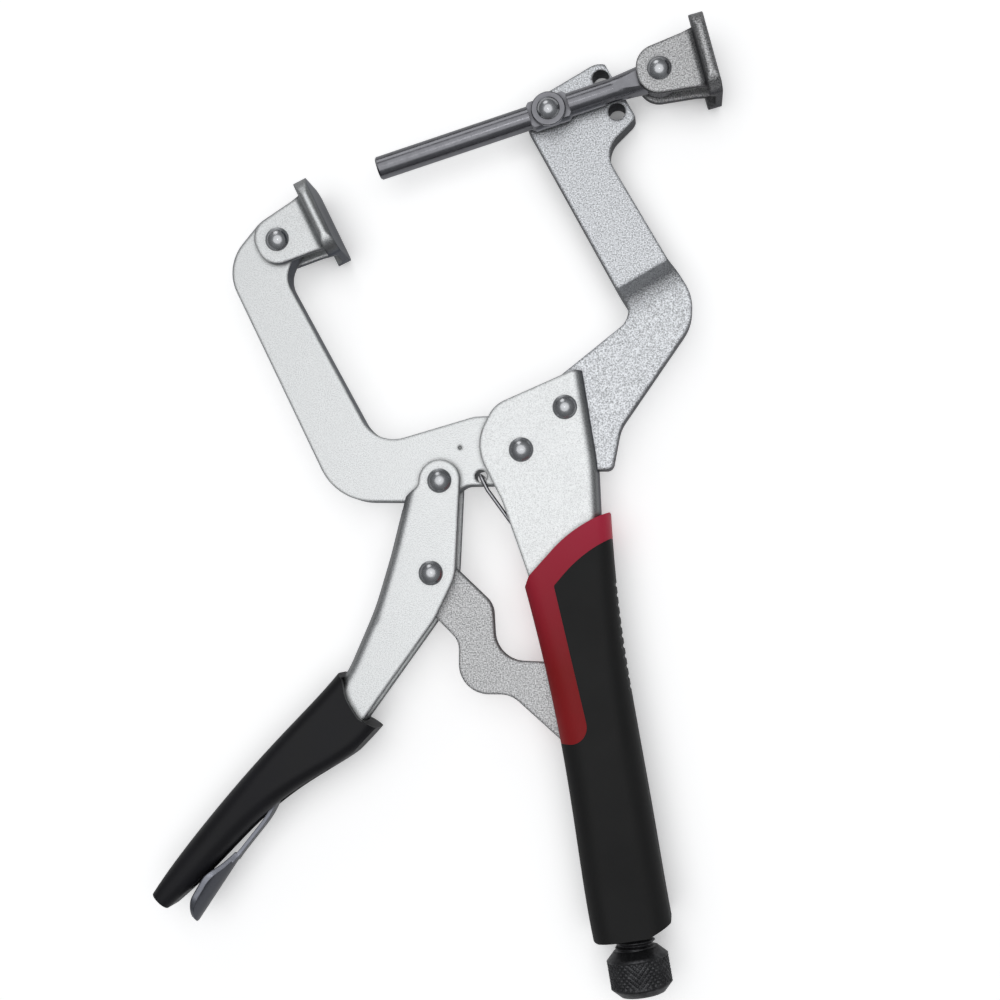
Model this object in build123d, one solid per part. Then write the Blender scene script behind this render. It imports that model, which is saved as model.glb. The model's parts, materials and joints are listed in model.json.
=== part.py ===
from build123d import *
import os
from math import acos, cos, radians, sin, tan

# Locking C clamp with two swivel pads, lying on its side. Millimetres, +Z up.
# It is drawn about the main jaw pivot, with the mid-plane of the plates at z = 0, and moved at the
# end so that the origin is at the middle of the footprint, on the surface it lies on.

# ---- Pivot centres, from the main jaw pivot -------------------------------------------------
JAW_PIVOT = (0.0, 0.0)
FIXED_RIVET = (13.0, 12.5)
LEVER_PIVOT = (-24.5, -9.0)
LINK_PIVOT = (-27.0, -36.5)
PAD_PIVOT = (-74.5, 65.0)
ROD_PIVOT = (8.0, 103.5)
HEAD_HOLES = [(23.5, 114.5), (28.4, 104.0)]
SPRING_HOLE = (-12.3, -7.6)
PUNCH_MARK = (-18.6, 1.0)
SPRING_ANCHOR = (18.1, -52.2)
RELEASE_PIVOT = (-62.0, -85.5)

# ---- Plates, channels and rivets ------------------------------------------------------------
JAW_HALF = 4.0             # both jaws are 8 mm plate
CHANNEL_INNER = 4.1        # half gap between the two sides of a channel
HANDLE_WALL = 2.2
LEVER_WALL = 2.0
HANDLE_SIDE = CHANNEL_INNER + HANDLE_WALL
LEVER_SIDE = CHANNEL_INNER + LEVER_WALL
BEND_R = 3.4               # outside bend of a channel
LINK_HALF = 2.5            # 5 mm toggle link with a boss at its rivet
RIVET_R = 2.5
HOLE_R = 2.55              # 0.05 mm running clearance round each rivet
HEAD_R = 3.65
HEAD_H = 2.1
FLUSH_H = 0.95             # flattened head behind the jaw head
JOGGLE = 7.8               # the upper part of the fixed jaw stands this far behind the lower part
HEAD_FRONT = JAW_HALF - JOGGLE
HEAD_BACK = -JAW_HALF - JOGGLE
HEAD_HOLE_R = 2.6

# ---- Handle, measured along (s) and across (t) its lean -------------------------------------
HANDLE_LEAN = 9.5          # degrees from the Y axis
SCREW_T = 8.4              # the screw's axis
NOSE_S = 95.8              # tip of the screw's nose
CHANNEL_END_S = 140.0
GRIP_END_S = 144.9
SOCKET_S = 121.0           # from here on the channel is closed round the screw
SOCKET_HALF = 8.4
KNOB_TOP_S = 149.3
KNOB_END_S = 162.4
KNOB_R = 9.1
SCREW_R = 5.95             # M12 screw in a 12 mm socket
SOCKET_R = 6.0
NOSE_R = 4.0
SKIN = 0.05                # gap between a grip and the steel inside it

# ---- Lever grip, measured along (s) and across (t) its own lean -----------------------------
GRIP_FOOT = (-51.0, -73.0)
LEVER_LEAN = 43.05         # degrees from the Y axis
LEVER_GRIP_HALF = 9.0
RIDGES = 11                # finger ridges along the back of the handle grip
RIDGE_START = 44.0         # first ridge, along the handle
RIDGE_PITCH = 3.05
RIDGE_R = 0.9
RELEASE_SHEET = 1.2        # thickness of the release lever
RELEASE_HALF = 3.6         # half width of its strip inside the lever
SPOON_END = 82.0           # tip of its spoon, along the lever
SPOON_HALF = 7.5
SPOON_DISH = 10.5          # radius the spoon is dished to
SPRING_COIL_R = 3.0
SPRING_WIRE_R = 0.6

# ---- Rod and pads ---------------------------------------------------------------------------
ROD_ANGLE = 17.0
ROD_R = 3.6
ROD_TIP = 55.0             # pivot to bare end
ROD_EYE = 35.0             # pivot to pad rivet
EYE_R = 6.0
EYE_HALF = 4.0
BOSS_HALF = 6.2            # half length of the bulge under the washer
BOSS_R = 4.6
BOSS_TOP = 2.4             # height of its flat
FLARE_R = 4.5              # the rod widens towards its eye
WASHER_R = 5.25
WASHER_H = 1.2
JAW_PAD_ANGLE = 26.0       # the way each pad's face looks at rest
ROD_PAD_ANGLE = 14.4
PAD_LENGTH = 12.5          # half length of a pad's face
PAD_HALF = 13.0            # half width of a pad across the clamp
PAD_CORNER = 6.5           # corner radius of a pad's face
PAD_SHEET = 2.0
PAD_EAR = CHANNEL_INNER + 0.1
PAD_BACK = 12.1            # pin to the back of the folded plate

# ---- Small helpers --------------------------------------------------------------------------


def direction(angle):
    """Unit vector in the plane at an angle in degrees from +X."""
    return (cos(radians(angle)), sin(radians(angle)))


def frame(origin, lean):
    """Point maker for a part that hangs down at a lean: (s, t) is along it, then across to +X."""
    def at(s, t):
        x = origin[0] + s * sin(radians(lean)) + t * cos(radians(lean))
        y = origin[1] - s * cos(radians(lean)) + t * sin(radians(lean))
        return (x, y)
    return at


handle = frame(JAW_PIVOT, HANDLE_LEAN)
lever = frame(GRIP_FOOT, -LEVER_LEAN)


def outline(corners):
    """Face inside straight edges joining corners (x, y, radius), each rounded to its radius."""
    points = [Vector(x, y) for x, y, _ in corners]
    edges = []
    ends = []
    for i, (_, _, radius) in enumerate(corners):
        here = points[i]
        back = (points[i - 1] - here).normalized()
        ahead = (points[(i + 1) % len(points)] - here).normalized()
        if radius == 0:
            ends.append((here, here))
            continue
        half = acos(back.dot(ahead)) / 2
        start = here + back * (radius / tan(half))
        stop = here + ahead * (radius / tan(half))
        middle = here + (back + ahead).normalized() * (radius / sin(half) - radius)
        edges.append(ThreePointArc(start, middle, stop))
        ends.append((start, stop))
    for i, (_, stop) in enumerate(ends):
        start = ends[(i + 1) % len(ends)][0]
        if (start - stop).length > 1e-6:
            edges.append(Line(stop, start))
    return Face(Wire(edges))


def plate(corners, low, high):
    """Plate with an outline, between two heights."""
    return extrude(Pos(0, 0, low) * outline(corners), amount=high - low, dir=(0, 0, 1))


def cross_prism(corners, origin, along, half_width=80.0):
    """Prism whose (along, z) section is given, running across the plane both ways."""
    ax, ay = along
    plane = Plane(origin=(origin[0], origin[1], 0), x_dir=(ax, ay, 0), z_dir=(ay, -ax, 0))
    return extrude(plane * outline(corners), amount=half_width, both=True)


def pin(point, radius, low, high):
    """Upright cylinder at a point of the plane."""
    x, y = point
    return Pos(x, y, low) * Cylinder(radius, high - low, align=(Align.CENTER, Align.CENTER, Align.MIN))


def dome(point, z, radius, height, up=1):
    """Domed rivet head standing on the plane z, upwards or downwards."""
    ball = (radius ** 2 + height ** 2) / (2 * height)
    cap = Sphere(ball) & Pos(0, 0, ball - height / 2) * Box(3 * radius, 3 * radius, height)
    cap = Pos(0, 0, height - ball) * cap
    if up < 0:
        cap = Rot(180, 0, 0) * cap
    return Pos(point[0], point[1], z) * cap


def rivet(point, half):
    """Rivet with a dome on each side of a stack of the given half height."""
    shank = pin(point, RIVET_R, -half, half)
    return shank + dome(point, half, HEAD_R, HEAD_H) + dome(point, -half, HEAD_R, HEAD_H, up=-1)


def wire(points, radius):
    """Round wire along straight runs, with a ball at each bend."""
    shape = None
    for p, q in zip(points, points[1:]):
        p, q = Vector(p), Vector(q)
        run = q - p
        rod = Plane(origin=p, z_dir=run) * Cylinder(
            radius, run.length, align=(Align.CENTER, Align.CENTER, Align.MIN))
        shape = rod if shape is None else shape + rod
        shape += Pos(*q) * Sphere(radius)
    return shape


def lofted(stations, at, lean):
    """Rounded body through stations (s, t_low, t_high, half_height, corner_radius)."""
    sections = []
    across = (cos(radians(lean)), sin(radians(lean)), 0)
    down = (sin(radians(lean)), -cos(radians(lean)), 0)
    for s, t_low, t_high, half, radius in stations:
        x, y = at(s, (t_low + t_high) / 2)
        plane = Plane(origin=(x, y, 0), x_dir=across, z_dir=down)
        sections.append(plane * RectangleRounded(t_high - t_low, 2 * half, radius))
    return loft(sections)


# ---- Jaws -----------------------------------------------------------------------------------


def movable_jaw():
    hub = 10.3
    shape = plate([
        (hub, -hub, hub),
        (hub, hub, hub),
        (-14.0, hub, 10),
        (-44.0, 1.8, 11),
        (-72.5, 53.5, 8),
        (-66.5, 68.0, 6),
        (-77.0, 75.0, 7.5),
        (-91.5, 57.5, 14),
        (-56.0, -14.8, 17.5),
        (-25.0, -15.2, 6),
        (-16.5, -hub, 4),
    ], -JAW_HALF, JAW_HALF)
    for hole in (JAW_PIVOT, LEVER_PIVOT, PAD_PIVOT):
        shape -= pin(hole, HOLE_R, -JAW_HALF, JAW_HALF)
    shape -= pin(SPRING_HOLE, 1.8, -JAW_HALF, JAW_HALF)
    return shape - pin(PUNCH_MARK, 0.6, JAW_HALF - 0.5, JAW_HALF)


def fixed_jaw():
    """Arm and elbow in the mid-plane, joggled back so that the rod can swing across its head."""
    plan = plate([
        (-2.0, 105.5, 7.2),
        (26.4, 121.6, 6.2),
        (31.5, 108.6, 2.5),
        (36.9, 104.6, 5.1),
        (24.2, 92.1, 8),
        (53.2, 41.1, 14),
        (29.3, 6.5, 12),
        (26.9, -6.0, 2.2),
        (9.0, -6.0, 0),
        (4.0, 4.0, 0),
        (4.0, 16.2, 2),
        (33.4, 39.6, 6),
    ], HEAD_BACK, JAW_HALF)
    arm = direction(119.5)
    step = 22.0
    run = 7.2
    section = cross_prism([
        (-60, JAW_HALF, 0),
        (step, JAW_HALF, 11.0),
        (step + run, HEAD_FRONT, 0.8),
        (120, HEAD_FRONT, 0),
        (120, HEAD_BACK, 0),
        (step + run - 2.5, HEAD_BACK, 8.0),
        (step - 2.5, -JAW_HALF, 8.0),
        (-60, -JAW_HALF, 0),
    ], JAW_PIVOT, arm)
    shape = plan & section
    shape -= pin(JAW_PIVOT, 11.0, -JAW_HALF, JAW_HALF)
    shape -= pin(FIXED_RIVET, HOLE_R, -JAW_HALF, JAW_HALF)
    shape -= pin(ROD_PIVOT, HOLE_R, HEAD_BACK, HEAD_FRONT)
    for hole in HEAD_HOLES:
        shape -= pin(hole, HEAD_HOLE_R, HEAD_BACK, HEAD_FRONT)
    return shape


# ---- Handle ---------------------------------------------------------------------------------


def handle_corners(grow=0.0):
    """Outline of the handle's sides, grown on the sides that a grip wraps."""
    low_t = -0.2 - grow
    spine_t = 17.3 + grow
    return [
        (18.3 + grow, 23.5, 0),
        (*handle(8, 21.7 + grow), 60),
        (*handle(44, spine_t), 60),
        (*handle(CHANNEL_END_S, spine_t), 0),
        (*handle(CHANNEL_END_S, low_t), 0),
        (*handle(82, low_t), 40),
        (2.2 - grow, -37.5, 30),
        (-5.7 - grow, -15.2, 20),
        (-14.2, 1.9, 14),
        (-8.0, 13.5, 9),
        (15.5, 23.6, 5),
    ]


def handle_section(near, far):
    """Half heights of the handle along its length: narrow round the jaws, wide at the screw."""
    return cross_prism([
        (-40, near, 0),
        (64, near, 30),
        (86, far, 30),
        (CHANNEL_END_S + 5, far, 0),
        (CHANNEL_END_S + 5, -far, 0),
        (86, -far, 30),
        (64, -near, 30),
        (-40, -near, 0),
    ], JAW_PIVOT, direction(-90 + HANDLE_LEAN))


def handle_outside(grow=0.0):
    body = plate(handle_corners(grow), -20, 20) & handle_section(HANDLE_SIDE + grow, SOCKET_HALF + grow)
    spine = [edge for edge in body.edges() if is_spine_edge(edge)]
    return fillet(spine, BEND_R + grow)


def is_spine_edge(edge):
    """True for the long edges where the handle's sides meet its spine."""
    middle = edge.center()
    across = direction(HANDLE_LEAN)
    t = middle.X * across[0] + middle.Y * across[1]
    upright = abs(edge.tangent_at(0.5).Z) > 0.9
    return t > 16.5 and not upright and abs(middle.Z) > 5 and middle.Y < 22.9 and edge.length > 1


def screw_pin(radius, start, end):
    """Cylinder on the screw's axis between two distances along the handle."""
    x, y = handle(start, SCREW_T)
    down = (sin(radians(HANDLE_LEAN)), -cos(radians(HANDLE_LEAN)), 0)
    plane = Plane(origin=(x, y, 0), z_dir=down)
    return plane * Cylinder(radius, end - start, align=(Align.CENTER, Align.CENTER, Align.MIN))


def handle_channel():
    """Bent sheet channel, slotted at its spine for the fixed jaw and closed round the screw."""
    inner_t = 17.3 - HANDLE_WALL
    cavity = plate([
        (60, 40, 0),
        (60, -6.4, 0),
        (*handle(9.5, 21.7 - HANDLE_WALL), 0),
        (*handle(44, inner_t), 60),
        (*handle(SOCKET_S, inner_t), 0),
        (*handle(SOCKET_S, -40), 0),
        (-60, -60, 0),
        (-60, 40, 0),
    ], -20, 20) & handle_section(CHANNEL_INNER, SOCKET_HALF - HANDLE_WALL)
    shape = handle_outside() - cavity
    shape -= screw_pin(SOCKET_R, SOCKET_S - 5, CHANNEL_END_S + 5)
    for hole in (JAW_PIVOT, FIXED_RIVET):
        shape -= pin(hole, HOLE_R, -HANDLE_SIDE, HANDLE_SIDE)
    return shape - pin(SPRING_ANCHOR, 1.55, -HANDLE_SIDE, HANDLE_SIDE)


def grip_body():
    """Both colours of the handle grip together: a sleeve, open towards the lever."""
    body = lofted([
        (12, -9.0, 23.8, 8.4, 4),
        (40, -5.8, 21.0, 9.8, 5),
        (62, -3.9, 19.9, 11.2, 6),
        (86, -2.8, 19.8, 12.6, 7),
        (116, -2.9, 20.0, 13.0, 7),
        (GRIP_END_S, -2.9, 20.2, 12.6, 7),
    ], handle, HANDLE_LEAN)
    body &= plate([
        (1.0, -40.9, 1),
        (2.4, -37.6, 1.5),
        (15.5, -23.0, 40),
        (28.8, -17.6, 3),
        (*handle(40, 30), 0),
        (*handle(138, 30), 0),
        (*handle(142.2, 20.4), 3),
        (*handle(GRIP_END_S, 13.2), 1),
        (*handle(GRIP_END_S, -2.9), 2.5),
        (*handle(137, -6), 0),
        (*handle(60, -8), 0),
    ], -20, 20)
    body -= handle_outside(SKIN)
    body -= screw_pin(SCREW_R + 0.8, CHANNEL_END_S - 2, GRIP_END_S + 2)
    link_way = plate([
        (*handle(10, 4), 0),
        (*handle(104, 4), 0),
        (*handle(104, -20), 3),
        (*handle(10, -20), 0),
    ], -CHANNEL_INNER, CHANNEL_INNER)
    body -= link_way
    for i in range(RIDGES):
        s = RIDGE_START + RIDGE_PITCH * i
        body -= pin(handle(s, max(21.4 - 0.05 * (s - 40), 20.3)), RIDGE_R, -20, 20)
    return body


def black_region(gap):
    """Plan of the black part of the handle grip, shrunk by a hairline gap from the red part."""
    return plate([
        (60, -8.0, 0),
        (28.0 + gap, -25.6 - gap, 0),
        (17.5 + gap, -31.4 - gap, 40),
        (9.9 + gap, -40.4, 0.8),
        (20.9 + gap, -86.2 - gap, 5),
        (-20, -86.2 - gap, 0),
        (-20, -170, 0),
        (80, -170, 0),
    ], -20, 20)


# ---- Screw ----------------------------------------------------------------------------------


def adjusting_screw():
    """Threaded shank and knob in one piece. The thread stands here as its outside diameter."""
    shank = screw_pin(SCREW_R, NOSE_S + 6.0, KNOB_TOP_S + 1)
    knob = screw_pin(KNOB_R, KNOB_TOP_S, KNOB_END_S)
    knob = chamfer(knob.edges().filter_by(GeomType.CIRCLE), 2.5)
    return shank + knob - screw_pin(1.6, NOSE_S + 5, NOSE_S + 14)


def screw_nose():
    """Button that sits in the end of the screw and takes the link's thrust without turning."""
    button = screw_pin(NOSE_R, NOSE_S, NOSE_S + 5.95)
    button = fillet(button.edges().filter_by(GeomType.CIRCLE)[0], 1.2)
    return button + screw_pin(1.55, NOSE_S + 5, NOSE_S + 13)


# ---- Lever, link and release ----------------------------------------------------------------


def lever_corners():
    return [
        (-18.2, -2.7, 5.9),
        (-19.8, -37.5, 15),
        (-26.0, -50.3, 25),
        (*lever(4, 7.6), 20),
        (*lever(30, 6.2), 30),
        (*lever(50, 3.0), 30),
        (*lever(82, 1.6), 0),
        (*lever(82, -2.2), 0),
        (*lever(60, -5.0), 60),
        (*lever(40, -5.8), 60),
        (*lever(-3, -5.4), 30),
        (-44.2, -47.0, 80),
        (-39.6, -31.5, 80),
        (-35.3, -14.0, 0),
        (-30.8, -10.3, 2.5),
        (-30.8, -2.7, 6.3),
    ]


def is_lever_spine_edge(edge):
    """True for the long edges where the lever's sides meet its spine."""
    middle = edge.center()
    upright = abs(edge.tangent_at(0.5).Z) > 0.9
    left_of_arm = middle.Y < -15 and middle.X < -34 - (-15 - middle.Y) * 0.25
    above_grip_axis = (middle.Y + 73.0) > (middle.X + 51.0) * 1.0705
    return left_of_arm and above_grip_axis and not upright and middle.Y > -130


def squeeze_lever():
    """Bent sheet channel that straddles the jaw and the link, open towards the handle."""
    body = plate(lever_corners(), -LEVER_SIDE, LEVER_SIDE)
    body = fillet([edge for edge in body.edges() if is_lever_spine_edge(edge)], BEND_R)
    cavity = plate([
        (0, 10, 0),
        (-60, 10, 0),
        (-60, -17.5, 0),
        (-34.0, -17.5, 0),
        (-37.5, -31.5, 80),
        (-42.1, -47.5, 80),
        (*lever(-3, -3.3), 30),
        (*lever(40, -3.8), 60),
        (*lever(60, -3.0), 60),
        (*lever(76, -1.4), 0),
        (*lever(76, 30), 0),
        (0, -60, 0),
    ], -CHANNEL_INNER, CHANNEL_INNER)
    shape = body - cavity
    for hole in (LEVER_PIVOT, LINK_PIVOT):
        shape -= pin(hole, HOLE_R, -LEVER_SIDE, LEVER_SIDE)
    return shape - pin(RELEASE_PIVOT, 1.55, -LEVER_SIDE, LEVER_SIDE)


def lever_grip():
    """Dipped sleeve on the lever, cut slantwise at its mouth, with a slot for the release lever."""
    body = lofted([
        (-4, -7.6, 10.0, LEVER_GRIP_HALF, 4),
        (22, -7.4, 9.4, LEVER_GRIP_HALF, 4),
        (37, -7.4, 5.8, LEVER_GRIP_HALF, 4.5),
        (52, -6.9, 4.4, 8.8, 5),
        (70, -5.5, 4.0, 8.6, 4.5),
        (86, -3.0, 2.6, 8.0, 2.7),
    ], lever, -LEVER_LEAN)
    body &= plate([
        (*lever(-2.6, -9), 0),
        (*lever(-2.0, -4.8), 4),
        (*lever(1.3, -0.4), 12),
        (*lever(3.0, 6.4), 4),
        (*lever(1.6, 12), 0),
        (*lever(50, 12), 0),
        (*lever(84.0, 5), 3),
        (*lever(84.0, -6), 4),
        (*lever(60, -12), 0),
    ], -20, 20)
    hollow = plate(lever_corners(), -LEVER_SIDE - SKIN, LEVER_SIDE + SKIN)
    slot = plate([
        (*lever(-12, -3.3), 0),
        (*lever(40, -3.6), 0),
        (*lever(76, -1.2), 0),
        (*lever(76, 30), 0),
        (*lever(20, 30), 0),
        (*lever(20, 7.9), 0),
        (*lever(-12, 7.9), 0),
    ], -CHANNEL_INNER - 0.1, CHANNEL_INNER + 0.1)
    return body - hollow - slot


def toggle_link():
    """Waved link between the lever and the nose of the screw."""
    nose = handle(NOSE_S - 1.0, SCREW_T)
    shape = plate([
        (-27.6, -27.9, 5.5),
        (-9.0, -45.6, 7),
        (-8.0, -62.3, 9),
        (8.6, -62.9, 6),
        (nose[0] + 4.4, nose[1] + 0.8, 3),
        (nose[0] - 4.4, nose[1] - 0.7, 3),
        (-3.5, -72.4, 8),
        (-19.1, -72.4, 9),
        (-19.0, -56.7, 6),
        (-37.6, -37.9, 6.5),
    ], -LINK_HALF, LINK_HALF)
    shape += pin(LINK_PIVOT, 6.0, -JAW_HALF, JAW_HALF)
    return shape - pin(LINK_PIVOT, HOLE_R, -JAW_HALF, JAW_HALF)


def release_lever():
    """Sprung strip inside the lever, ending in a dished spoon for the fingers."""
    inner = [
        (4.5, 3.4, 0.5),
        (12, 1.0, 8),
        (30, 1.0, 20),
        (44, 5.4, 30),
        (61, 6.7, 0),
    ]
    outer = [(s, t + RELEASE_SHEET, r) for s, t, r in reversed(inner)]
    strip = plate([(*lever(s, t), r) for s, t, r in inner + outer], -10, 10)
    tail = direction(-90 - LEVER_LEAN + 9.5)
    x, y = lever(60, 6.6 + RELEASE_SHEET - SPOON_DISH)
    bed = Plane(origin=(x, y, 0), z_dir=(*tail, 0))
    upright = (Align.CENTER, Align.CENTER, Align.MIN)
    hollow = Cylinder(SPOON_DISH - RELEASE_SHEET, 30, align=upright)
    spoon = bed * (Cylinder(SPOON_DISH, 30, align=upright) - hollow)
    spoon &= plate([
        (*lever(56, 2.5), 0),
        (*lever(56, 14), 0),
        (*lever(90, 20), 0),
        (*lever(90, 2.5), 0),
    ], -10, 10)
    neck = 2.7
    shape = strip + spoon
    shape &= cross_prism([
        (3, RELEASE_HALF, 0),
        (52, neck, 20),
        (58, neck, 6),
        (68, SPOON_HALF, 9),
        (SPOON_END, SPOON_HALF - 0.6, 6.8),
        (SPOON_END, -SPOON_HALF + 0.6, 6.8),
        (68, -SPOON_HALF, 9),
        (58, -neck, 6),
        (52, -neck, 20),
        (3, -RELEASE_HALF, 0),
    ], GRIP_FOOT, direction(-90 - LEVER_LEAN))
    shape += pin(RELEASE_PIVOT, 3.1, -RELEASE_HALF, RELEASE_HALF)
    return shape - pin(RELEASE_PIVOT, 1.55, -RELEASE_HALF, RELEASE_HALF)


# ---- Spring ---------------------------------------------------------------------------------


def tension_spring():
    """Coil from a hook in the jaw's hole to the anchor pin. The coil stands as a tube."""
    reach = JAW_HALF + SPRING_WIRE_R + 0.15
    hook_x, hook_y = SPRING_HOLE
    past_edge = (hook_x + 2.1, hook_y - 4.2)
    coil_start = Vector(5.2, -33.2)
    anchor = Vector(*SPRING_ANCHOR)
    along = (anchor - coil_start).normalized()
    coil_end = anchor - along * 5.0
    hook = wire([
        (coil_start.X, coil_start.Y, 1.4),
        (*past_edge, reach),
        (hook_x, hook_y, reach),
        (hook_x, hook_y, -reach),
        (*past_edge, -reach),
        (coil_start.X, coil_start.Y, -1.4),
    ], SPRING_WIRE_R)
    length = (coil_end - coil_start).length
    plane = Plane(origin=coil_start, z_dir=along)
    upright = (Align.CENTER, Align.CENTER, Align.MIN)
    turn = 2 * SPRING_WIRE_R
    bore = Cylinder(SPRING_COIL_R - 1.5, length, align=upright)
    coil = plane * (Cylinder(SPRING_COIL_R, length, align=upright) - bore)
    ends = plane * Cylinder(SPRING_COIL_R, turn, align=upright)
    ends += Plane(origin=coil_end, z_dir=-along) * Cylinder(SPRING_COIL_R, turn, align=upright)
    ring = Pos(*anchor) * (Cylinder(2.9, turn) - Cylinder(1.6, turn))
    tail = wire([tuple(coil_end), tuple(anchor - along * 2.3)], SPRING_WIRE_R)
    return coil + ends + hook + ring + tail


# ---- Rod and pads ---------------------------------------------------------------------------


def on_rod(s):
    """Point on the rod's axis, measured from its pivot towards the pad."""
    ux, uy = direction(ROD_ANGLE)
    return (ROD_PIVOT[0] + s * ux, ROD_PIVOT[1] + s * uy)


EYE = on_rod(ROD_EYE)


def swing_rod():
    """Round rod with a flattened bulge at its pivot, a bare end, and an eye for the pad."""
    upright = (Align.CENTER, Align.CENTER, Align.MIN)
    rod = Rot(0, 90, 0) * Cylinder(ROD_R, ROD_TIP + ROD_EYE - 4, align=upright)
    rod = chamfer(rod.edges().filter_by(GeomType.CIRCLE).sort_by(Axis.X)[0], 0.5)
    rod = Pos(-ROD_TIP, 0, 0) * rod
    bulge = Rot(0, 90, 0) * Cylinder(BOSS_R, 2 * BOSS_HALF)
    bulge = chamfer(bulge.edges().filter_by(GeomType.CIRCLE), 0.8)
    seat_low = HEAD_FRONT + 0.1
    bulge &= Pos(0, 0, (BOSS_TOP + seat_low) / 2) * Box(20, 20, BOSS_TOP - seat_low)
    clear = Pos(0, 0, BOSS_TOP) * Box(2 * BOSS_HALF, 12, 4, align=(Align.CENTER, Align.CENTER, Align.MIN))
    flare = Pos(ROD_EYE - 15, 0, 0) * Rot(0, 90, 0) * Cone(ROD_R, FLARE_R, 10, align=upright)
    flare &= Box(200, 20, 2 * ROD_R)
    eye = Pos(ROD_EYE, 0, 0) * Cylinder(EYE_R, 2 * EYE_HALF)
    shape = rod + bulge - clear + flare + eye
    shape -= Cylinder(HOLE_R, 20)
    shape -= Pos(ROD_EYE, 0, 0) * Cylinder(HOLE_R, 20)
    return Pos(ROD_PIVOT[0], ROD_PIVOT[1], 0) * Rot(0, 0, ROD_ANGLE) * shape


def rod_washer():
    ring = pin(ROD_PIVOT, WASHER_R, BOSS_TOP, BOSS_TOP + WASHER_H)
    ring = fillet(ring.edges().filter_by(GeomType.CIRCLE).sort_by(Axis.Z)[-1], 0.4)
    return ring - pin(ROD_PIVOT, HOLE_R, BOSS_TOP, BOSS_TOP + WASHER_H)


def rod_pivot_rivet():
    """Domed in front of the washer, flattened behind the head of the jaw."""
    front = BOSS_TOP + WASHER_H
    shape = pin(ROD_PIVOT, RIVET_R, HEAD_BACK, front) + dome(ROD_PIVOT, front, 3.5, 2.0)
    return shape + pin(ROD_PIVOT, HEAD_R, HEAD_BACK - FLUSH_H, HEAD_BACK)


def swivel_pad(point, angle):
    """Folded sheet: a face plate hemmed along both sides, with an ear turned up from each hem."""
    face = PAD_BACK + 2 * PAD_SHEET
    ear_out = PAD_EAR + PAD_SHEET
    folded = extrude(Plane.XZ * outline([
        (PAD_BACK, PAD_HALF, PAD_SHEET * 0.98),
        (face, PAD_HALF, PAD_SHEET * 0.98),
        (face, -PAD_HALF, PAD_SHEET * 0.98),
        (PAD_BACK, -PAD_HALF, PAD_SHEET * 0.98),
        (PAD_BACK, -ear_out, 0),
        (PAD_BACK + PAD_SHEET, -PAD_EAR, 0),
        (PAD_BACK + PAD_SHEET, PAD_EAR, 0),
        (PAD_BACK, ear_out, 0),
    ]), amount=PAD_LENGTH, both=True)
    folded &= extrude(Plane.YZ * RectangleRounded(2 * PAD_LENGTH, 2 * PAD_HALF, PAD_CORNER), amount=40)
    ear = [
        (-6.8, -6.6, 6.5),
        (9.0, -8.5, 4),
        (PAD_BACK + PAD_SHEET, -9.6, 0),
        (PAD_BACK + PAD_SHEET, 9.6, 0),
        (9.0, 8.5, 4),
        (-6.8, 6.6, 6.5),
    ]
    shape = folded + plate(ear, PAD_EAR, ear_out) + plate(ear, -ear_out, -PAD_EAR)
    bend = 2.4
    for side in (1, -1):
        root = extrude(Plane.XZ * outline([
            (PAD_BACK - bend, side * (ear_out - 0.2), 0),
            (PAD_BACK + 0.2, side * (ear_out - 0.2), 0),
            (PAD_BACK + 0.2, side * (ear_out + bend), 0),
        ]), amount=8.4, both=True)
        hollow = Pos(PAD_BACK - bend, 0, side * (ear_out + bend)) * Rot(90, 0, 0) * Cylinder(bend, 20)
        shape += root - hollow
    shape -= Cylinder(HOLE_R, 4 * PAD_HALF)
    return Pos(point[0], point[1], 0) * Rot(0, 0, angle) * shape


# ---- The clamp ------------------------------------------------------------------------------

grip = grip_body()
nodes = {
    "handle_channel": handle_channel(),
    "fixed_jaw": fixed_jaw(),
    "fixed_jaw_rivet": rivet(FIXED_RIVET, HANDLE_SIDE),
    "jaw_pivot_rivet": rivet(JAW_PIVOT, HANDLE_SIDE),
    "spring_anchor_pin": pin(SPRING_ANCHOR, 1.5, -HANDLE_SIDE, HANDLE_SIDE),
    "handle_grip_black": grip & black_region(0.02),
    "handle_grip_red": grip - black_region(0.0),
    "tension_spring": tension_spring(),
    "adjusting_screw": adjusting_screw(),
    "screw_nose": screw_nose(),
    "movable_jaw": movable_jaw(),
    "squeeze_lever": squeeze_lever(),
    "lever_grip": lever_grip(),
    "lever_pivot_rivet": rivet(LEVER_PIVOT, LEVER_SIDE),
    "link_pivot_rivet": rivet(LINK_PIVOT, LEVER_SIDE),
    "toggle_link": toggle_link(),
    "release_lever": release_lever(),
    "release_lever_pin": pin(RELEASE_PIVOT, 1.5, -LEVER_SIDE, LEVER_SIDE),
    "jaw_pad": swivel_pad(PAD_PIVOT, JAW_PAD_ANGLE),
    "jaw_pad_rivet": rivet(PAD_PIVOT, PAD_EAR + PAD_SHEET),
    "swing_rod": swing_rod(),
    "rod_washer": rod_washer(),
    "rod_pivot_rivet": rod_pivot_rivet(),
    "rod_pad": swivel_pad(EYE, ROD_PAD_ANGLE),
    "rod_pad_rivet": rivet(EYE, PAD_EAR + PAD_SHEET),
}

box = Compound(children=[Compound(list(shape.solids())) for shape in nodes.values()]).bounding_box()
to_origin = Vector(-(box.min.X + box.max.X) / 2, -(box.min.Y + box.max.Y) / 2, -box.min.Z)
os.makedirs("parts", exist_ok=True)
for name, shape in nodes.items():
    solids = [Pos(*to_origin) * solid for solid in shape.solids()]
    export_step(solids[0] if len(solids) == 1 else Compound(solids), f"parts/{name}.step")
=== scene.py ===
import json
import math
import bpy
from mathutils import Matrix, Vector


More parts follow.
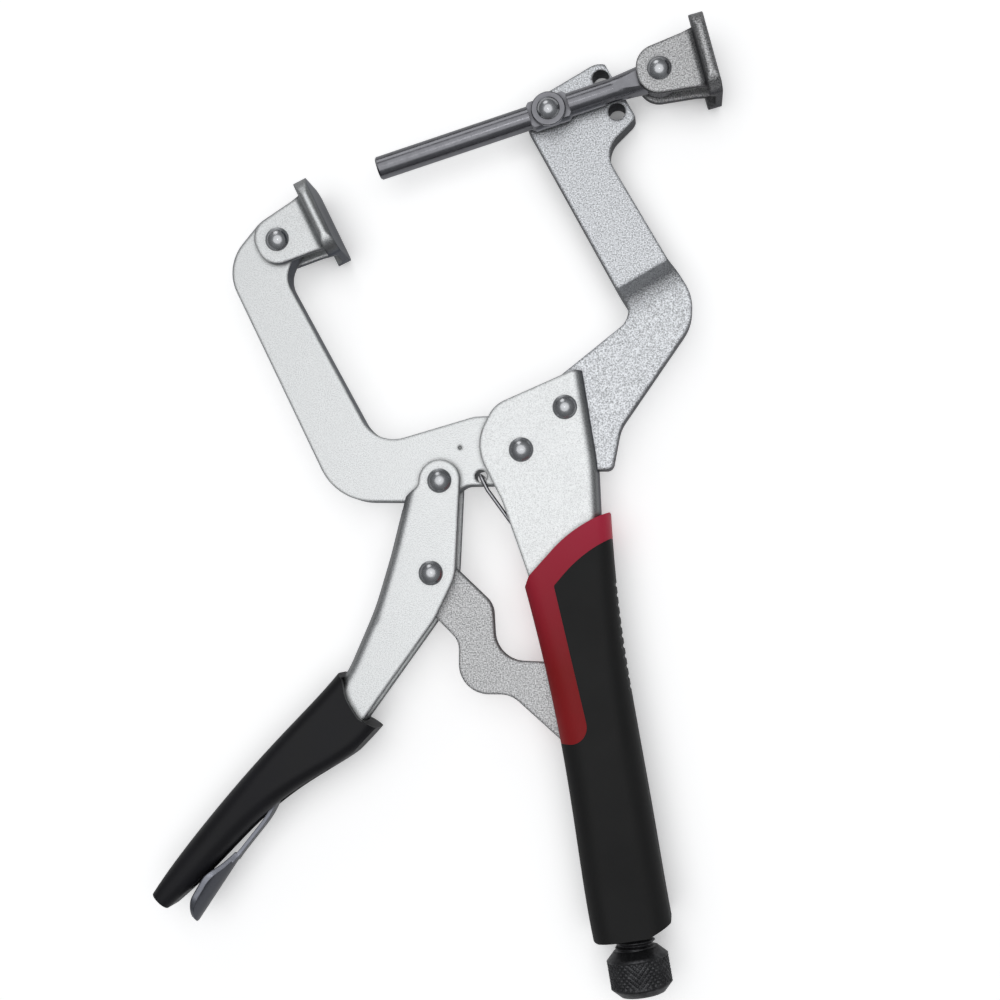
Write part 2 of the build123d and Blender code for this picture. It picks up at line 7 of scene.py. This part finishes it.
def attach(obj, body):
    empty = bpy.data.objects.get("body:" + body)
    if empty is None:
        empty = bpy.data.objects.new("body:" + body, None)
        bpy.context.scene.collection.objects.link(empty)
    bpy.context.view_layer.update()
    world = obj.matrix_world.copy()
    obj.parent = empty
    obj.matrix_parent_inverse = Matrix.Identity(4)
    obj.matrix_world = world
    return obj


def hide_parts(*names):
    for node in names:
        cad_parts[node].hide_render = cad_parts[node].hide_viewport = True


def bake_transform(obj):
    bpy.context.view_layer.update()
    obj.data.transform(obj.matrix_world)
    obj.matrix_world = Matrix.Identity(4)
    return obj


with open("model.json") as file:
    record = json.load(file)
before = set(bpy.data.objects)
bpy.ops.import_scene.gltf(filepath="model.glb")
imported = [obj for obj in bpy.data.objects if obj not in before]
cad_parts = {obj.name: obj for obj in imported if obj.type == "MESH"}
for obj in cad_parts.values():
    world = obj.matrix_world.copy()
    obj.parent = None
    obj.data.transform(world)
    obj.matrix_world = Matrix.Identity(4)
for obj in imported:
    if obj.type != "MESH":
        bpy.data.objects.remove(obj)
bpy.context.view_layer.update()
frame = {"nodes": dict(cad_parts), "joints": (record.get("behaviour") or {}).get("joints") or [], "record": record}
nodes = frame["nodes"]
joints = {joint["name"]: joint for joint in frame["joints"]}
MM = 0.001

PIVOT = Vector(joints["jaw_close"]["pos_m"])
UPPER_FADE = 45 * MM       # length over which the red grip brightens towards its top end


# ---- Shader helpers -------------------------------------------------------------------------


class Shader:
    """A material and short calls that add nodes to it. Values may be numbers, colours or sockets."""

    def __init__(self, name):
        self.material = bpy.data.materials.new(name)
        self.material.use_nodes = True
        self.tree = self.material.node_tree
        self.tree.nodes.clear()
        self.output = self.tree.nodes.new("ShaderNodeOutputMaterial")
        self.coords = self.tree.nodes.new("ShaderNodeTexCoord").outputs

    def add(self, kind, settings=None, **inputs):
        node = self.tree.nodes.new("ShaderNode" + kind)
        for key, value in (settings or {}).items():
            setattr(node, key, value)
        for key, value in inputs.items():
            self.plug(node.inputs[key.replace("_", " ")], value)
        return node

    def plug(self, socket, value):
        if isinstance(value, bpy.types.NodeSocket):
            self.tree.links.new(value, socket)
        else:
            socket.default_value = value

    def maths(self, operation, a, b=0.0):
        node = self.add("Math", {"operation": operation})
        self.plug(node.inputs[0], a)
        self.plug(node.inputs[1], b)
        return node.outputs[0]

    def noise(self, size, detail, rough):
        """Noise between about 0 and 1 with features of a size in metres."""
        place = self.scaled(self.coords["Object"], 1 / size)
        node = self.add("TexNoise", Vector=place, Scale=1.0, Detail=detail, Roughness=rough)
        return node.outputs["Fac"]

    def remap(self, value, low, high, out_low=0.0, out_high=1.0):
        node = self.add("MapRange", {"clamp": True})
        for socket, item in zip(node.inputs, (value, low, high, out_low, out_high)):
            self.plug(socket, item)
        return node.outputs[0]

    def mix(self, factor, a, b):
        node = self.add("Mix", {"data_type": "RGBA"})
        self.plug(node.inputs[0], factor)
        for socket, value in ((node.inputs[6], a), (node.inputs[7], b)):
            self.plug(socket, value if isinstance(value, bpy.types.NodeSocket) else (*value, 1))
        return node.outputs[2]

    def scaled(self, colour, factor):
        node = self.add("VectorMath", {"operation": "SCALE"})
        self.plug(node.inputs[0], colour)
        self.plug(node.inputs["Scale"], factor)
        return node.outputs[0]

    def bump(self, height, distance, under=None):
        node = self.add("Bump", Height=height, Distance=distance, Strength=1.0)
        if under is not None:
            self.plug(node.inputs["Normal"], under)
        return node.outputs["Normal"]

    def flatness(self, normal):
        """1 where a face looks straight up or down, 0 where it stands upright."""
        split = self.add("SeparateXYZ", Vector=normal)
        return self.maths("ABSOLUTE", split.outputs["Z"])

    def worn_edges(self, radius):
        """Normal that turns over gradually within a distance of each edge."""
        return self.add("Bevel", {"samples": 6}, Radius=radius).outputs["Normal"]

    def crevice(self, distance):
        """Ambient occlusion: 1 in the open, falling to 0 deep in a corner; multiplied into colours as painted
        shade and painted shadow.
        """
        return self.add("AmbientOcclusion", {"samples": 6}, Distance=distance).outputs["AO"]

    def surface(self, **inputs):
        shader = self.add("BsdfPrincipled", **inputs)
        self.tree.links.new(shader.outputs[0], self.output.inputs["Surface"])
        return self.material


# ---- Materials ------------------------------------------------------------------------------


def plated_steel(name, bright, upright_shade, rough, grain, depth, contrast, edge=1.3 * MM):
    """Blasted, plated plate: grain on the flats; painted shade, speckled by the grain, towards bends and edges; a
    dark painted shade on upright faces; painted shade in corners.
    """
    s = Shader(name)
    pits = s.noise(grain, 3.0, 0.6)
    broad = s.noise(9 * MM, 3.0, 0.55)
    turned_over = s.worn_edges(edge)
    # Painted shade: the colour darkens towards bends and edges, speckled by the grain, and goes to a dark painted
    # shade on upright faces.
    speckled = s.maths("ADD", s.flatness(turned_over), s.remap(pits, 0.3, 0.7, -0.09, 0.09))
    flat = s.remap(speckled, 0.74, 0.985)
    upright = s.remap(s.flatness(turned_over), 0.62, 0.2)
    speck = s.remap(pits, 0.36, 0.62, 1 - contrast, 1.0)
    shade = s.maths("MULTIPLY", speck, s.remap(broad, 0.3, 0.7, 0.955, 1.02))
    # Painted shade in corners and where pieces meet, from ambient occlusion; the speckle and broad tone before it
    # are the plate's own grain.
    shade = s.maths("MULTIPLY", shade, s.remap(s.crevice(1.6 * MM), 0.25, 0.95, 0.3, 1.0))
    # Painted shade colour for bends: half the plate's colour plus a little of the upright painted shade.
    bend_shade = [0.5 * a + 0.1 * b for a, b in zip(bright, upright_shade)]
    colour = s.mix(upright, s.mix(flat, bend_shade, bright), upright_shade)
    worn = s.maths("MULTIPLY", s.remap(broad, 0.3, 0.7, 0.92, 1.1), rough)
    normal = s.bump(pits, depth, under=turned_over)
    return s.surface(Base_Color=s.scaled(colour, shade), Metallic=1.0, Roughness=worn, Normal=normal)


def polished_steel(name, colour, rough, crevice=1.2 * MM):
    """Turned or drawn steel with faint tool marks, with painted shade where it meets another piece."""
    s = Shader(name)
    fine = s.noise(0.25 * MM, 2.0, 0.5)
    smudge = s.noise(2.5 * MM, 3.0, 0.6)
    tone = s.mix(s.remap(smudge, 0.3, 0.75), [0.8 * c for c in colour], colour)
    # Painted shade where the piece meets another, from ambient occlusion.
    shade = s.remap(s.crevice(crevice), 0.3, 0.95, 0.3, 1.0)
    roughness = s.remap(smudge, 0.25, 0.8, rough * 0.8, rough * 1.35)
    normal = s.bump(fine, 0.004 * MM)
    return s.surface(Base_Color=s.scaled(tone, shade), Metallic=1.0, Roughness=roughness, Normal=normal)


def rubber(name, colour, high, rough, grain, depth, upper=None):
    """Moulded elastomer with a fine skin, scuffed in patches. upper is the colour of its top end."""
    s = Shader(name)
    skin = s.noise(grain, 3.0, 0.6)
    patch = s.noise(14 * MM, 4.0, 0.6)
    tone = s.mix(s.remap(patch, 0.35, 0.8), colour, high)
    if upper is not None:
        along = s.add("SeparateXYZ", Vector=s.coords["Object"]).outputs["Y"]
        top = PIVOT.y - 20 * MM
        tone = s.mix(s.remap(along, top - UPPER_FADE, top), tone, upper)
    roughness = s.remap(patch, 0.3, 0.7, rough * 0.9, rough * 1.12)
    normal = s.bump(skin, depth)
    return s.surface(Base_Color=tone, Roughness=roughness, Normal=normal, Specular_IOR_Level=0.25)


def black_oxide(name):
    """Blackened steel, rubbed a little lighter in places."""
    s = Shader(name)
    fine = s.noise(0.3 * MM, 3.0, 0.6)
    rubbed = s.noise(2.0 * MM, 3.0, 0.6)
    tone = s.mix(s.remap(rubbed, 0.45, 0.8), (0.05, 0.05, 0.053), (0.12, 0.12, 0.125))
    return s.surface(Base_Color=tone, Metallic=0.8, Roughness=s.remap(rubbed, 0.3, 0.8, 0.42, 0.3),
                     Normal=s.bump(fine, 0.01 * MM))


# The second colour of each plated material is the dark painted shade of its upright faces.
MATERIALS = {
    "bright_plate": plated_steel("nickel_plate", (0.87, 0.885, 0.885), (0.08, 0.09, 0.115), 0.36,
                                 0.3 * MM, 0.04 * MM, 0.24),
    "blasted_plate": plated_steel("coarse_nickel_plate", (0.95, 0.97, 1.0), (0.085, 0.09, 0.105), 0.38,
                                  0.42 * MM, 0.12 * MM, 0.58),
    "grey_plate": plated_steel("dull_plate", (0.80, 0.80, 0.805), (0.07, 0.07, 0.08), 0.4,
                               0.42 * MM, 0.13 * MM, 0.62),
    "rivet_steel": polished_steel("rivet_steel", (0.66, 0.67, 0.69), 0.23),
    "rod_steel": polished_steel("rod_steel", (0.27, 0.27, 0.29), 0.22),
    "release_steel": plated_steel("strip_plate", (0.28, 0.29, 0.33), (0.10, 0.105, 0.12), 0.3,
                                  0.3 * MM, 0.02 * MM, 0.12, 0.4 * MM),
    "spring_wire": polished_steel("spring_wire", (0.5, 0.5, 0.52), 0.22, 0.5 * MM),
    "black_grip": rubber("black_grip", (0.014, 0.014, 0.014), (0.017, 0.017, 0.017), 0.58,
                         0.25 * MM, 0.02 * MM),
    "red_grip": rubber("red_grip", (0.31, 0.011, 0.013), (0.35, 0.013, 0.017), 0.55,
                       0.25 * MM, 0.02 * MM, upper=(0.56, 0.03, 0.07)),
    "lever_rubber": rubber("lever_rubber", (0.012, 0.012, 0.0135), (0.015, 0.015, 0.019), 0.42,
                           0.5 * MM, 0.015 * MM),
    "black_oxide": black_oxide("black_oxide"),
}


def dress(obj, slot_name):
    """Gives an object the one material of its slot."""
    obj.data.materials.clear()
    obj.data.materials.append(MATERIALS[slot_name])


slot_of = {part["node"]: part["material_slot"] for part in frame["record"]["subparts"]}
for name, obj in nodes.items():
    dress(obj, slot_of[name])


# ---- Edges ----------------------------------------------------------------------------------

SHEET_EDGE = 0.45 * MM
PAD_EDGE = 0.7 * MM


def soften(obj, width, segments):
    """Merges the flat faces of a piece and rounds its sharp edges, with modifiers."""
    flat = obj.modifiers.new("flats", "DECIMATE")
    flat.decimate_type = "DISSOLVE"
    flat.angle_limit = math.radians(0.4)
    bevel = obj.modifiers.new("edges", "BEVEL")
    bevel.width = width
    bevel.segments = segments
    bevel.limit_method = "ANGLE"
    bevel.angle_limit = math.radians(35)
    bevel.use_clamp_overlap = False
    bevel.harden_normals = True


for name in ("movable_jaw", "fixed_jaw", "toggle_link", "squeeze_lever"):
    soften(nodes[name], SHEET_EDGE, 2)
for name in ("jaw_pad", "rod_pad"):
    soften(nodes[name], PAD_EDGE, 3)

# ---- Mesh helpers ---------------------------------------------------------------------------


def make_piece(name, points, faces, body, slot_name, replaced):
    """Smooth piece in place of a node, riding on a body when one is named."""
    mesh = bpy.data.meshes.new(name)
    mesh.from_pydata(points, [], faces)
    mesh.update()
    mesh.polygons.foreach_set("use_smooth", [True] * len(mesh.polygons))
    obj = bpy.data.objects.new(name, mesh)
    bpy.context.scene.collection.objects.link(obj)
    dress(obj, slot_name)
    if body:
        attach(obj, body)
    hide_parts(replaced)
    return obj


def grid_faces(rings, around):
    """Quads between closed rings of points, and a cap at each end."""
    faces = []
    for i in range(rings - 1):
        for j in range(around):
            a = i * around + j
            b = i * around + (j + 1) % around
            faces.append((a, b, b + around, a + around))
    faces.append(tuple(reversed(range(around))))
    faces.append(tuple((rings - 1) * around + j for j in range(around)))
    return faces


def turned(name, centre, axis, stations, around, radius_at, body, slot_name, replaced):
    """Turned piece whose radius is radius_at(z, turn) at each station along its axis."""
    side = axis.cross(Vector((0, 0, 1))).normalized()
    up = side.cross(axis).normalized()
    points = []
    for z in stations:
        for j in range(around):
            turn = j / around
            angle = 2 * math.pi * turn
            r = radius_at(z, turn)
            points.append(centre + axis * z + (side * math.cos(angle) + up * math.sin(angle)) * r)
    make_piece(name, points, grid_faces(len(stations), around), body, slot_name, replaced)


def tube(path, radius, around=10):
    """Points and faces of a round wire along a path."""
    points = []
    side = None
    for i, here in enumerate(path):
        ahead = (path[min(i + 1, len(path) - 1)] - path[max(i - 1, 0)]).normalized()
        if side is None:
            side = ahead.orthogonal().normalized()
        side = (side - ahead * side.dot(ahead)).normalized()
        other = ahead.cross(side)
        for j in range(around):
            angle = 2 * math.pi * j / around
            points.append(here + (side * math.cos(angle) + other * math.sin(angle)) * radius)
    return points, grid_faces(len(path), around)


# ---- Adjusting screw ------------------------------------------------------------------------

SCREW_AXIS = Vector(joints["screw_turn"]["axis"]).normalized()
KNOB_TOP = Vector(joints["screw_turn"]["pos_m"])
KNOB_LENGTH = 13.05 * MM
KNOB_R = 9.1 * MM
KNOB_CHAMFER = 2.5 * MM
THREAD_R = 5.95 * MM
THREAD_DEPTH = 0.95 * MM
PITCH = 1.75 * MM
KNURLS = 34
KNURL_DEPTH = 0.42 * MM
KNURL_STEP = 1.65 * MM
KNURL_RINGS = 46           # rings of points along the knurled band
SHANK = 42 * MM            # modelled length of the thread
THREAD_STEPS = 12          # rings of points in each turn of the thread


def triangle(x):
    """0 at whole numbers, 1 halfway between them."""
    return 1 - abs(2 * (x % 1.0) - 1)


def screw_radius(z, turn):
    """Thread above the knob, then the knob with its chamfers and its crossed knurl."""
    if z < 0:
        crest = min(max((triangle(z / PITCH - turn) - 0.12) / 0.7, 0), 1)
        return THREAD_R - THREAD_DEPTH * (1 - crest)
    if z < KNOB_CHAMFER:
        return KNOB_R - (KNOB_CHAMFER - z)
    end = KNOB_LENGTH - KNOB_CHAMFER
    if z > end:
        return KNOB_R - (z - end)
    groove = min(triangle(turn * KNURLS + z / KNURL_STEP), triangle(turn * KNURLS - z / KNURL_STEP))
    near_end = min(z - KNOB_CHAMFER, end - z)
    depth = KNURL_DEPTH * min(near_end / (0.5 * MM), 1)
    return KNOB_R - depth * (1 - min(groove * 1.25, 1))


def screw_stations():
    """Places along the screw's axis, from its inner end to the end of the knob."""
    thread = [-SHANK + i * PITCH / THREAD_STEPS for i in range(int(SHANK / PITCH * THREAD_STEPS))]
    chamfer = [KNOB_CHAMFER * t for t in (0.33, 0.66, 1.0)]
    end = KNOB_LENGTH - KNOB_CHAMFER
    band = end - KNOB_CHAMFER
    knurl = [KNOB_CHAMFER + band * (i + 1) / KNURL_RINGS for i in range(KNURL_RINGS)]
    return thread + [0.0, 0.1 * MM] + chamfer + knurl + [end + z for z in chamfer]


turned("adjusting_screw_threaded", KNOB_TOP, SCREW_AXIS, screw_stations(), KNURLS * 8, screw_radius,
       "screw", "black_oxide", "adjusting_screw")

# ---- Tension spring -------------------------------------------------------------------------

WIRE_R = 0.6 * MM
COIL_R = 2.4 * MM
HOOK = PIVOT + Vector((-12.3, -7.6, 0)) * MM
ANCHOR = PIVOT + Vector((18.1, -52.2, 0)) * MM
COIL_START = PIVOT + Vector((5.2, -33.2, 0)) * MM
TURNS = 11
REACH = 4.75 * MM          # from the jaw's middle plane to the wire over its face
RING_R = 2.25 * MM
RING_GAP = 5.0 * MM        # from the end of the coil to the anchor pin
RING_CLOSED = 0.92         # how much of a full turn the ring makes


def spring_path():
    """Hook through the jaw's hole, long shank, coil, and a ring round the anchor pin."""
    along = (ANCHOR - COIL_START).normalized()
    up = Vector((0, 0, 1))
    across = along.cross(up).normalized()
    coil = ANCHOR - along * RING_GAP - COIL_START
    edge = HOOK + Vector((2.1, -4.2, 0)) * MM
    hook = [
        HOOK - up * (REACH - 2 * WIRE_R),
        HOOK - up * 2.0 * MM,
        HOOK + up * 3.2 * MM,
        HOOK + up * REACH,
        HOOK.lerp(edge, 0.5) + up * (REACH + 0.05 * MM),
        edge + up * REACH,
    ]
    path = []
    for a, b in zip(hook, hook[1:]):
        path += [a.lerp(b, t / 4) for t in range(4)]
    entry = COIL_START + up * COIL_R
    path += [hook[-1].lerp(entry, t / 10) for t in range(10)]
    steps = TURNS * 20
    for i in range(steps + 1):
        angle = 2 * math.pi * i / 20
        point = COIL_START + coil * i / steps
        path.append(point + (up * math.cos(angle) + across * math.sin(angle)) * COIL_R)
    ring_steps = 22
    for i in range(ring_steps + 1):
        angle = math.pi + 2 * math.pi * RING_CLOSED * i / ring_steps
        path.append(ANCHOR + (along * math.cos(angle) + across * math.sin(angle)) * RING_R)
    return path


points, faces = tube(spring_path(), WIRE_R)
spring = make_piece("tension_spring_coil", points, faces, None, "spring_wire", "tension_spring")
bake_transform(spring)

# ---- Stage ----------------------------------------------------------------------------------

FLOOR_GLOW = 0.60          # glow of the paper as the camera sees it
REFLECTED_GLOW = 0.08      # and as the steel reflects it
FLOOR_HALF = 8.0
SKY_LOW, SKY_HIGH = 0.17, 0.33


def floor_material():
    """Pale paper on a light table: it glows, with a painted shadow where the clamp covers it, and less in
    reflections.
    """
    s = Shader("floor")
    # Painted shadow: the paper's glow falls off under and around the clamp, from ambient occlusion.
    painted_shadow = s.remap(s.crevice(12 * MM), 0.0, 0.9, 0.1, 1.0)
    reflected = s.add("LightPath").outputs["Is Glossy Ray"]
    strength = s.maths("MULTIPLY", painted_shadow, s.remap(reflected, 0.0, 1.0, FLOOR_GLOW, REFLECTED_GLOW))
    diffuse = s.add("BsdfDiffuse", Color=(0.82, 0.82, 0.82, 1))
    glow = s.add("Emission", Color=(1, 1, 1, 1), Strength=strength)
    total = s.add("AddShader")
    s.tree.links.new(diffuse.outputs[0], total.inputs[0])
    s.tree.links.new(glow.outputs[0], total.inputs[1])
    s.tree.links.new(total.outputs[0], s.output.inputs["Surface"])
    return s.material


def lamp(name, size, power, place, target):
    """Round softbox that faces a point."""
    data = bpy.data.lights.new(name, "AREA")
    data.shape = "DISK"
    data.size = size
    data.energy = power
    obj = bpy.data.objects.new(name, data)
    obj.location = place
    obj.rotation_euler = (Vector(target) - Vector(place)).to_track_quat("-Z", "Y").to_euler()
    bpy.context.scene.collection.objects.link(obj)


def sky():
    """Plain room: dim round the sides, brighter overhead, and pale where the camera sees it."""
    world = bpy.data.worlds.new("studio")
    bpy.context.scene.world = world
    world.use_nodes = True
    tree = world.node_tree
    background = tree.nodes["Background"]
    background.inputs["Color"].default_value = (0.8, 0.82, 0.85, 1)
    coords = tree.nodes.new("ShaderNodeTexCoord")
    split = tree.nodes.new("ShaderNodeSeparateXYZ")
    height = tree.nodes.new("ShaderNodeMapRange")
    tree.links.new(coords.outputs["Generated"], split.inputs[0])
    tree.links.new(split.outputs["Z"], height.inputs[0])
    for socket, value in zip(list(height.inputs)[1:5], (0.2, 0.9, SKY_LOW, SKY_HIGH)):
        socket.default_value = value
    seen = tree.nodes.new("ShaderNodeLightPath").outputs["Is Camera Ray"]
    brighter = tree.nodes.new("ShaderNodeMath")
    brighter.operation = "MAXIMUM"
    tree.links.new(height.outputs[0], brighter.inputs[0])
    tree.links.new(seen, brighter.inputs[1])
    tree.links.new(brighter.outputs[0], background.inputs["Strength"])


def studio():
    """Floor, room and lamps."""
    mesh = bpy.data.meshes.new("floor")
    corners = [(x * FLOOR_HALF, y * FLOOR_HALF, 0) for x, y in ((-1, -1), (1, -1), (1, 1), (-1, 1))]
    mesh.from_pydata(corners, [], [(0, 1, 2, 3)])
    floor = bpy.data.objects.new("floor", mesh)
    bpy.context.scene.collection.objects.link(floor)
    mesh.materials.append(floor_material())

    sky()
    middle = (0, 0.05, 0)
    lamp("softbox", 1.3, 3.35, (0, 0.05, 0.9), middle)
    lamp("key", 0.1, 0.09, (0.03, 0.05, 0.88), middle)
    lamp("back", 0.5, 0.7, (-0.3, 0.9, 0.5), middle)


def camera():
    """Looks almost straight down from above the handle."""
    data = bpy.data.cameras.new("camera")
    data.sensor_width = 36
    data.lens = 58.09
    data.clip_start = 0.01
    obj = bpy.data.objects.new("camera", data)
    obj.location = PIVOT + Vector((0.04763, -0.04507, 0.480))
    look = Vector((-0.11285, 0.06309, -0.99161)).normalized()
    side = look.cross(Vector((0, 1, 0))).normalized()
    up = side.cross(look)
    basis = [[side[i], up[i], -look[i]] for i in range(3)]
    obj.rotation_euler = Matrix(basis).to_euler()
    bpy.context.scene.collection.objects.link(obj)
    bpy.context.scene.camera = obj


studio()
camera()
bpy.context.scene.view_settings.view_transform = "Standard"
